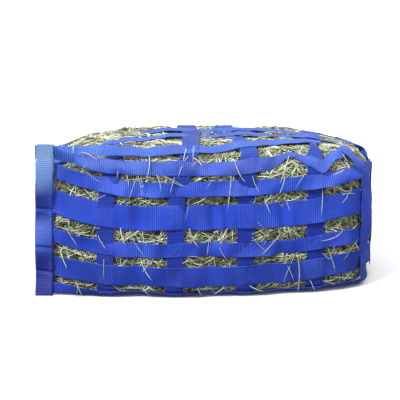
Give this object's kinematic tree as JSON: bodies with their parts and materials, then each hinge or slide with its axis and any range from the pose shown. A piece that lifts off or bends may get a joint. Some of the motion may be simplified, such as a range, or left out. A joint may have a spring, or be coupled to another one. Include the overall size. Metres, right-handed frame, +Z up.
{
  "type": "hay net",
  "caption": "Slow-feed hay bag of crossed webbing straps round one bale, with a flat mouth hem, a closing flap with bolt snaps, and hanging rings.",
  "frame": {"origin": "middle of the underside, halfway along and across the bag", "axes": "+X along the bag towards its closed end, the mouth is at -X; -Y is the front; +Z up"},
  "size_m": [1.01, 0.436, 0.478],
  "materials": {
    "webbing": "ribbed woven webbing, slight sheen",
    "hay": "dry loose stalks",
    "hardware": "nickel plated, satin"
  },
  "bodies": {
    "bag": {"back_strap_1": "webbing", "back_strap_2": "webbing", "back_strap_3": "webbing", "back_strap_4": "webbing", "back_strap_5": "webbing", "back_strap_6": "webbing", "bottom_strap_1": "webbing", "bottom_strap_2": "webbing", "bottom_strap_3": "webbing", "end_band_back": "webbing", "end_band_front": "webbing", "end_strap_1": "webbing", "end_strap_2": "webbing", "end_strap_3": "webbing", "end_strap_4": "webbing", "end_upright": "webbing", "front_strap_1": "webbing", "front_strap_2": "webbing", "front_strap_3": "webbing", "front_strap_4": "webbing", "front_strap_5": "webbing", "front_strap_6": "webbing", "hanging_tabs": "webbing", "hay": "hay", "hoop_1": "webbing", "hoop_2": "webbing", "hoop_3": "webbing", "hoop_4": "webbing", "lip_ring_tabs": "webbing", "mouth_hem_bottom": "webbing", "mouth_hem_inner": "webbing", "mouth_hem_outer": "webbing", "mouth_hem_top": "webbing", "top_strap_1": "webbing", "top_strap_2": "webbing", "top_strap_3": "webbing"},
    "lip_ring_1": {"lip_ring_1": "hardware"},
    "hanging_ring_1": {"hanging_ring_1": "hardware"},
    "snap_eye_1": {"snap_eye_1": "hardware"},
    "snap_hook_1": {"snap_hook_1": "hardware"},
    "snap_bolt_1": {"snap_bolt_1": "hardware"},
    "lip_ring_2": {"lip_ring_2": "hardware"},
    "hanging_ring_2": {"hanging_ring_2": "hardware"},
    "snap_eye_2": {"snap_eye_2": "hardware"},
    "snap_hook_2": {"snap_hook_2": "hardware"},
    "snap_bolt_2": {"snap_bolt_2": "hardware"},
    "flap": {"flap_hem": "webbing", "flap_strap_1": "webbing", "flap_strap_2": "webbing", "flap_strap_3": "webbing", "flap_strap_4": "webbing", "flap_upright": "webbing", "snap_tabs": "webbing"}
  },
  "joints": [
    {"name": "flap_hinge", "type": "hinge", "parent": "bag", "child": "flap", "pos_m": [-0.4641, 0.1443, 0.2], "axis": [0, 0, -1], "range_deg": [0, 110]},
    {"name": "lip_ring_swing_1", "type": "hinge", "parent": "bag", "child": "lip_ring_1", "pos_m": [-0.488, -0.1802, 0.352], "axis": [1, 0, 0], "range_deg": [0, 80]},
    {"name": "hanging_ring_swing_1", "type": "hinge", "parent": "bag", "child": "hanging_ring_1", "pos_m": [-0.25, 0.2126, 0.33], "axis": [1, 0, 0], "range_deg": [0, 120]},
    {"name": "snap_swing_1", "type": "hinge", "parent": "flap", "child": "snap_eye_1", "pos_m": [-0.4735, -0.136, 0.32], "axis": [0, 1, 0], "range_deg": [0, 100]},
    {"name": "snap_swivel_1", "type": "hinge", "parent": "snap_eye_1", "child": "snap_hook_1", "pos_m": [-0.4735, -0.136, 0.28], "axis": [0, 0, 1], "range_deg": [0, 100]},
    {"name": "snap_bolt_slide_1", "type": "slide", "parent": "snap_hook_1", "child": "snap_bolt_1", "axis": [0, 0, 1], "range_m": [0, 0.008], "stiffness_N_per_m": 150, "springref_m": -0.004},
    {"name": "lip_ring_swing_2", "type": "hinge", "parent": "bag", "child": "lip_ring_2", "pos_m": [-0.488, -0.1802, 0.192], "axis": [1, 0, 0], "range_deg": [0, 80]},
    {"name": "hanging_ring_swing_2", "type": "hinge", "parent": "bag", "child": "hanging_ring_2", "pos_m": [0.25, 0.2126, 0.33], "axis": [1, 0, 0], "range_deg": [0, 120]},
    {"name": "snap_swing_2", "type": "hinge", "parent": "flap", "child": "snap_eye_2", "pos_m": [-0.4735, -0.136, 0.16], "axis": [0, 1, 0], "range_deg": [0, 100]},
    {"name": "snap_swivel_2", "type": "hinge", "parent": "snap_eye_2", "child": "snap_hook_2", "pos_m": [-0.4735, -0.136, 0.12], "axis": [0, 0, 1], "range_deg": [0, 100]},
    {"name": "snap_bolt_slide_2", "type": "slide", "parent": "snap_hook_2", "child": "snap_bolt_2", "axis": [0, 0, 1], "range_m": [0, 0.008], "stiffness_N_per_m": 150, "springref_m": -0.004}
  ]
}
